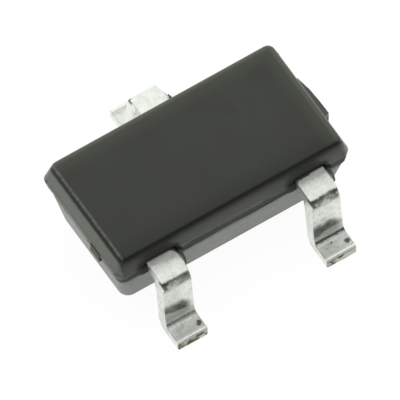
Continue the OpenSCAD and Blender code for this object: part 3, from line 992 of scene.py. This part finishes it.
class TRANSISTOR_OT_body(bpy.types.Operator):
    """Models the moulded body by extruding and tapering a block upwards from its underside"""

    bl_idname = "transistor.body"
    bl_label = "Moulded body"

    def execute(self, context):
        s = context.scene.transistor_body
        leads = context.scene.transistor_leads
        body = self.lower_half(s)
        self.combine(body, self.upper_half(s), "UNION")
        self.combine(body, self.ejector(s), "DIFFERENCE")
        for x, side in ((-leads.pitch / 2, -1), (leads.pitch / 2, -1), (0.0, 1)):
            self.combine(body, self.pocket(s, x, side, leads.width / 2 + s.pocket_wide), "DIFFERENCE")
        start_edit(body)
        self.rag(body, s)
        end_edit()
        finish_mesh(body, 28)
        dress(body, "Moulding compound", "moulded_body")
        return {"FINISHED"}

    def lower_half(self, s):
        """The drafted half below the parting line, with a root that ends inside the upper half."""
        inset = (PARTING - BODY_FLOOR) * math.tan(s.draft)
        low_x, low_y = s.parting_x - s.step, s.parting_y - s.step
        half = block("moulding", (-low_x, -low_y, BODY_FLOOR), (low_x, low_y, PARTING))
        start_edit(half)
        pick(half, "VERT", lambda co: near(co.z, BODY_FLOOR))
        stretch((low_x - inset) / low_x, (low_y - inset) / low_y)
        for hand, radius in ((-1, s.lower_left), (1, s.lower_right)):
            pick(half, "EDGE", lambda a, b: a.x * hand > 0 and upright(a, b))
            bevel(radius, 7)
        pick(half, "FACE", lambda c, n: near(c.z, PARTING) and n.z > 0.9)
        extrude((0, 0, OVERLAP))
        pick(half, "EDGE", lambda a, b: level(a, b, BODY_FLOOR))
        bevel(s.bottom_edge, 6)
        end_edit()
        return half

    def upper_half(self, s):
        """The half above the parting line, whose ends are longest level with the top of the leads."""
        x, y = s.parting_x, s.parting_y
        half = block("upper_half", (-x, -y, PARTING), (x, y, FRAME_TOP))
        start_edit(half)
        pick(half, "FACE", lambda c, n: near(c.z, FRAME_TOP))
        stretch(RIDGE_X / x, 1)
        extrude((0, 0, BODY_TOP - FRAME_TOP))
        stretch((RIDGE_X - s.top_inset_x) / RIDGE_X, (y - s.top_inset_y) / y)
        pick(half, "EDGE", upright)
        bevel(s.upper_corner, 5)
        for height, radius in ((FRAME_TOP, s.ridge_round), (BODY_TOP, s.top_edge)):
            pick(half, "EDGE", lambda a, b: level(a, b, height))
            bevel(radius, 6)
        end_edit()
        return half

    def rag(self, body, s):
        """Lets the outer edge at the parting line wander, coarse first and then fine."""
        over_edge = PARTING + 0.022 * MM
        pick(body, "FACE", lambda c, n: True)
        cut((0, 0, over_edge), (0, 0, 1))

        def outer(co):
            x = max(abs(co.x) - s.parting_x + s.upper_corner, 0)
            y = max(abs(co.y) - s.parting_y + s.upper_corner, 0)
            return abs(co.z - PARTING) < s.ragged and math.hypot(x, y) > s.upper_corner - s.ragged * 0.7

        for cuts, amount, seed, least in ((14, s.ragged, 4, 0.5 * MM), (5, s.ragged * 0.35, 9, 0.05 * MM)):
            pick(body, "EDGE", lambda a, b: outer(a) and outer(b) and (a - b).length > least)
            bpy.ops.mesh.subdivide(number_cuts=cuts)
            pick(body, "VERT", outer)
            roughen(amount, seed)

    def ejector(self, s):
        bpy.ops.object.select_all(action="DESELECT")
        bpy.ops.mesh.primitive_cylinder_add(
            vertices=64, radius=s.ejector_r, depth=2 * s.ejector_depth, location=(0, 0, BODY_FLOOR)
        )
        return bpy.context.active_object

    def pocket(self, s, x, side, half):
        """What leaves a hollow in the wall round a lead; its upper corners are round."""
        roof = FRAME_TOP + s.pocket_rise
        sill = FRAME_TOP - 0.06 * MM
        inner = side * (s.parting_y - s.pocket_depth)
        ys = sorted((inner, side * (s.parting_y + OVERLAP)))
        cutter = block("pocket", (x - half, ys[0], sill), (x + half, ys[1], roof))
        start_edit(cutter)
        pick(cutter, "EDGE", lambda a, b: level(a, b, roof) and abs(a.y - b.y) > SLACK)
        bevel(s.pocket_rise * 0.8, 5)
        nudge(cutter, lambda co: near(co.y, inner) and co.z > FRAME_TOP, (0, 0, -s.pocket_depth))
        end_edit()
        return cutter

    def combine(self, body, other, operation):
        """Joins the other piece to the body or takes it away."""
        tool = body.modifiers.new("Combine", "BOOLEAN")
        tool.operation = operation
        tool.object = other
        bpy.context.view_layer.objects.active = body
        bpy.ops.object.modifier_apply(modifier=tool.name)
        bpy.data.objects.remove(other)


class TRANSISTOR_OT_gate(bpy.types.Operator):
    """Models the broken lump that the gate left on the right end"""

    bl_idname = "transistor.gate"
    bl_label = "Gate lump"

    def execute(self, context):
        s = context.scene.transistor_body
        root = RIDGE_X - 3 * OVERLAP
        low = (root, -s.gate_front, PARTING - s.gate_down)
        lump = block("gate_stub", low, (RIDGE_X, s.gate_back, PARTING + s.gate_up))
        lump_out = body_high.x - RIDGE_X
        # Places across the end in millimetres, and the share of its reach that the lump has there
        outline = {-0.245: 1.0, -0.12: 0.95, 0.075: 0.75, 0.195: 0.4}
        start_edit(lump)
        for place in outline:
            pick(lump, "FACE", lambda c, n: True)
            cut((0, place * MM, 0), (0, 1, 0))
        for place, out in outline.items():
            nudge(lump, lambda co: near(co.y, place * MM) and co.x > RIDGE_X - SLACK, (lump_out * out, 0, 0))
        pick(lump, "FACE", lambda c, n: n.x > 0.2)
        bpy.ops.mesh.subdivide(number_cuts=3)
        pick(lump, "VERT", lambda co: co.x > RIDGE_X + 0.2 * lump_out and abs(co.y) < s.gate_front * 0.9)
        roughen(0.004 * MM, seed=5)
        end_edit()
        finish_mesh(lump, 20)
        dress(lump, "Moulding compound", "moulded_body")
        return {"FINISHED"}


class TRANSISTOR_OT_webs(bpy.types.Operator):
    """Models the webs of compound that the mould left beside the leads"""

    bl_idname = "transistor.webs"
    bl_label = "Flash webs"

    def execute(self, context):
        s = context.scene.transistor_body
        leads = context.scene.transistor_leads
        half = leads.width / 2
        front = leads.pitch / 2
        for name, x, side in (("input", -front, -1), ("ground", front, -1), ("collector", 0.0, 1)):
            self.web(f"{name}_web_left", s, x - half, -1, side, s.web_rest, s.web_rest_height)
            self.web(f"{name}_web_right", s, x + half, 1, side, s.web_out, s.web_height)
        return {"FINISHED"}

    def web(self, name, s, edge, hand, side, out, height):
        """A web along the lead side at edge; its outer end slopes back to the body."""
        wall = s.parting_y
        top = PARTING + height
        shoulder = edge + hand * s.web_width * 0.6
        xs = sorted((edge - hand * OVERLAP, edge + hand * s.web_width))
        ys = sorted((side * (wall - OVERLAP), side * wall))
        web = block(name, (xs[0], ys[0], PARTING), (xs[1], ys[1], top))
        start_edit(web)
        pick(web, "FACE", lambda c, n: True)
        cut((shoulder, 0, 0), (1, 0, 0))
        by_lead = (0, side * out, 0)
        nudge(web, lambda co: near(co.y, side * wall) and (co.x - shoulder) * hand < SLACK, by_lead)
        pick(web, "FACE", lambda c, n: n.y * side > 0.2)
        bpy.ops.mesh.subdivide(number_cuts=3)
        pick(web, "VERT", lambda co: co.y * side > wall + SLACK and co.z > PARTING + SLACK)
        roughen(min(out * 0.25, 0.006 * MM), seed=11)
        back = (0, -side * out * 0.45, 0)
        nudge(web, lambda co: co.y * side > wall + SLACK and co.z > top - 0.01 * MM, back)
        end_edit()
        finish_mesh(web, 25)
        dress(web, "Moulding compound", "moulded_body")


def lead_piece(name, s, x, side, plate_x, plate_inner):
    """A gull-wing lead at x that leaves along side * Y; its inner plate spans plate_x from plate_inner."""
    half = s.width / 2
    slant = LEAD_T / math.cos(s.lean)
    lean = math.tan(s.lean)
    armpit = s.crease + LEAD_T * lean - slant
    instep = s.crease + PARTING * lean
    heel = s.crease + FRAME_TOP * lean - slant
    # A cut within the reach of a bevel spoils it, so the stub ends short of the round inside the first bend
    stub_end = armpit - s.armpit_round - 0.005 * MM
    stub_full = stub_end - s.stub_length

    ys = sorted((side * plate_inner, side * s.inner))
    lead = block(name, (plate_x[0], ys[0], PARTING), (plate_x[1], ys[1], FRAME_TOP))
    start_edit(lead)
    for edge in (x - half, x + half):
        pick(lead, "FACE", lambda c, n: True)
        cut((edge, 0, 0), (1, 0, 0))
    pick(lead, "FACE", lambda c, n: near(c.y, side * s.inner) and n.y * side > 0.9 and abs(c.x - x) < half)
    trimmed = s.trim_start + s.trim / 2
    stations = [s.inner, s.trim_start, trimmed, s.stub_start, stub_full, stub_end, armpit, s.crease]
    for before, place in zip(stations, stations[1:]):
        extrude((0, side * (place - before), 0))
    nudge(lead, lambda co: near(co.y, side * s.crease) and near(co.z, PARTING), (0, side * LEAD_T * lean, 0))
    pick(lead, "FACE", lambda c, n: near(c.z, PARTING) and n.z < -0.9 and c.y * side > armpit)
    extrude((0, side * (PARTING - LEAD_T) * lean, LEAD_T - PARTING))
    extrude((0, side * LEAD_T * lean, -LEAD_T))
    pick(lead, "FACE", lambda c, n: c.z < LEAD_T and n.y * side > 0.9)
    extrude((0, side * (TOE - instep), 0))
    nudge(lead, lambda co: co.y * side > TOE - SLACK and co.z < SLACK, (0, -side * LEAD_T * lean, 0))

    def on_side(co, hand, low, high):
        within = low - SLACK < co.y * side < high + SLACK
        return within and near(co.x, x + hand * half) and co.z > PARTING - SLACK

    nudge(lead, lambda co: on_side(co, -1, trimmed, stub_end), (s.trim, 0, 0))
    nudge(lead, lambda co: on_side(co, 1, stub_full, stub_end), (s.stub, 0, 0))
    nudge(lead, lambda co: on_side(co, -1, armpit, s.crease) and near(co.z, FRAME_TOP), (s.trim, 0, 0))
    nudge(lead, lambda co: on_side(co, 1, s.crease, s.crease) and near(co.z, FRAME_TOP), (-s.neck, 0, 0))

    turn = math.tan((math.pi / 2 - s.lean) / 2)

    def crosswise(a, b, y, z):
        there = all(near(v.y * side, y, 2 * SLACK) and near(v.z, z, 2 * SLACK) for v in (a, b))
        return there and abs(a.x - b.x) > 10 * SLACK

    for y, z, reach, segments in (
        (s.crease, FRAME_TOP, s.crease_round * turn, 8),
        (armpit, PARTING, s.armpit_round * turn, 6),
        (instep, LEAD_T, s.instep_round * turn, 6),
        (heel, 0, s.heel_round * turn, 9),
        (TOE, LEAD_T, s.toe_round, 6),
    ):
        pick(lead, "EDGE", lambda a, b: crosswise(a, b, y, z))
        bevel(reach, segments)
    pick(lead, "FACE", lambda c, n: abs(n.x) > 0.3 and c.y * side > s.inner)
    bpy.ops.mesh.region_to_loop()
    bevel(s.side_round, 3)
    end_edit()
    finish_mesh(lead, 40)
    return lead


class TRANSISTOR_OT_leads(bpy.types.Operator):
    """Models the three gull-wing leads with the plates that they carry inside"""

    bl_idname = "transistor.leads"
    bl_label = "Leads"

    def execute(self, context):
        s = context.scene.transistor_leads
        inner = -lead_high.y
        for name, node, x, side, plate, start in (
            ("input_gull_wing", "input_lead", -s.pitch / 2, -1, (-lead_high.x, -lead_low.x), inner),
            ("ground_gull_wing", "ground_lead", s.pitch / 2, -1, (lead_low.x, lead_high.x), inner),
            ("collector_gull_wing", "collector_lead", 0.0, 1, (pad_low.x, pad_high.x), pad_low.y),
        ):
            lead = lead_piece(name, s, x, side, plate, start)
            dress(lead, "Tin plating", node)
        return {"FINISHED"}


class TRANSISTOR_OT_inside(bpy.types.Operator):
    """Gives the sealed pieces and the bar ends their finishes"""

    bl_idname = "transistor.inside"
    bl_label = "Inner pieces"

    def execute(self, context):
        for node, material in (
            ("left_end_bar", "Cut copper alloy"), ("right_end_bar", "Cut copper alloy"),
            ("silicon_die", "Silicon"), ("die_attach", "Attach solder"),
            ("input_bond_wire", "Bond gold"), ("ground_bond_wire", "Bond gold"),
        ):
            coat(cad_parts[node], material)
        return {"FINISHED"}


class TRANSISTOR_OT_studio(bpy.types.Operator):
    """Sets the floor, the camera, the lamp and the sky"""

    bl_idname = "transistor.studio"
    bl_label = "Studio"

    def execute(self, context):
        s = context.scene.transistor_studio
        scene = context.scene
        self.floor(s)
        self.camera(scene, s)
        self.lamp(scene, s)
        self.sky(scene, s)
        scene.view_settings.view_transform = "Standard"
        return {"FINISHED"}

    def floor(self, s):
        """A floor that looks white, lights the part like pale paper and is clear from beneath."""
        bpy.ops.object.select_all(action="DESELECT")
        bpy.ops.mesh.primitive_plane_add(size=FLOOR_SIDE, location=(0, 0, -FLOOR_DROP))
        floor = bpy.context.active_object
        floor.name = "studio_floor"
        board = MaterialBoard("Studio floor")
        path = board.node("ShaderNodeLightPath").outputs
        from_camera = path["Is Camera Ray"]
        seen = board.most(from_camera, path["Is Glossy Ray"], path["Is Transmission Ray"])
        glow = board.mix(from_camera, rgba(s.tint), rgba(WHITE))
        beneath = board.node("ShaderNodeNewGeometry").outputs["Backfacing"]
        board.give("Base Color", board.mix(seen, rgba(FLOOR_GREY), rgba(FLOOR_DIM)))
        board.give("Emission Color", board.mix(seen, rgba(BLACK), glow))
        board.give("Emission Strength", 0.95)
        board.give("Alpha", board.without(board.times(beneath, from_camera)))
        board.give("Roughness", 0.9)
        board.give("Specular IOR Level", 0.1)
        floor.data.materials.append(board.material)

    def camera(self, scene, s):
        """A level camera without perspective, at the photograph's angle."""
        flat = math.cos(s.elevation)
        towards = Vector((-math.sin(s.azimuth) * flat, -math.cos(s.azimuth) * flat, math.sin(s.elevation)))
        right = Vector((math.cos(s.azimuth), -math.sin(s.azimuth), 0))
        above = towards.cross(right)
        data = bpy.data.cameras.new("Camera")
        data.type = "ORTHO"
        data.ortho_scale = IMAGE_SIDE / s.pixels_per_mm * MM
        data.clip_start, data.clip_end = 0.0001, 0.5
        camera = bpy.data.objects.new("Camera", data)
        scene.collection.objects.link(camera)
        aim = Vector((0, 0, s.aim_height)) + right * s.aim_right - above * s.aim_down
        camera.location = aim + towards * CAMERA_AWAY
        camera.rotation_mode = "QUATERNION"
        camera.rotation_quaternion = (-towards).to_track_quat("-Z", "Y")
        scene.camera = camera

    def lamp(self, scene, s):
        data = bpy.data.lights.new("Soft lamp", "AREA")
        data.shape = "DISK"
        data.size = LAMP_SIDE
        data.energy = s.lamp
        lamp = bpy.data.objects.new("Soft lamp", data)
        lamp.location = LAMP_PLACE
        lamp.rotation_mode = "QUATERNION"
        lamp.rotation_quaternion = (-Vector(LAMP_PLACE)).to_track_quat("-Z", "Y")
        scene.collection.objects.link(lamp)

    def sky(self, scene, s):
        """A sky that is bright overhead, dim low in front, and white to the camera."""
        world = bpy.data.worlds.new("Studio")
        scene.world = world
        world.use_nodes = True
        board = Board(world.node_tree)
        heading = board.node("ShaderNodeTexCoord").outputs["Generated"]
        leaning = board.node(
            "ShaderNodeVectorMath", {0: heading, 1: BRIGHT_SKY}, operation="DOT_PRODUCT"
        ).outputs["Value"]
        brightness = board.step(leaning, 0.12, 0.75)
        strength = board.rise(s.horizon, brightness, s.zenith - s.horizon)
        from_camera = board.node("ShaderNodeLightPath").outputs["Is Camera Ray"]
        background = world.node_tree.nodes["Background"].inputs
        board.plug(background["Color"], board.mix(from_camera, rgba(s.tint), rgba(WHITE)))
        dimmed = board.times(strength, board.without(from_camera))
        board.plug(background["Strength"], board.plus(dimmed, from_camera))


class TRANSISTOR_PT_panel(bpy.types.Panel):
    """Lists the steps that build the part"""

    bl_label = "Transistor"
    bl_idname = "TRANSISTOR_PT_panel"
    bl_space_type = "VIEW_3D"
    bl_region_type = "UI"
    bl_category = "Transistor"

    def draw(self, context):
        for step in STEPS:
            self.layout.operator(step.bl_idname)


STEPS = (
    TRANSISTOR_OT_finishes,
    TRANSISTOR_OT_body,
    TRANSISTOR_OT_gate,
    TRANSISTOR_OT_webs,
    TRANSISTOR_OT_leads,
    TRANSISTOR_OT_inside,
    TRANSISTOR_OT_studio,
)
GROUPS = (
    ("transistor_body", BodySizes),
    ("transistor_leads", LeadSizes),
    ("transistor_finishes", Finishes),
    ("transistor_studio", StudioSettings),
)


def register():
    for name, group in GROUPS:
        bpy.utils.register_class(group)
        setattr(bpy.types.Scene, name, PointerProperty(type=group))
    for step in STEPS:
        bpy.utils.register_class(step)
    bpy.utils.register_class(TRANSISTOR_PT_panel)


def unregister():
    bpy.utils.unregister_class(TRANSISTOR_PT_panel)
    for step in reversed(STEPS):
        bpy.utils.unregister_class(step)
    for name, group in reversed(GROUPS):
        delattr(bpy.types.Scene, name)
        bpy.utils.unregister_class(group)


def main():
    register()
    bpy.ops.transistor.finishes()
    bpy.ops.transistor.body()
    bpy.ops.transistor.gate()
    bpy.ops.transistor.webs()
    bpy.ops.transistor.leads()
    bpy.ops.transistor.inside()
    bpy.ops.transistor.studio()


if __name__ == "__main__":
    main()
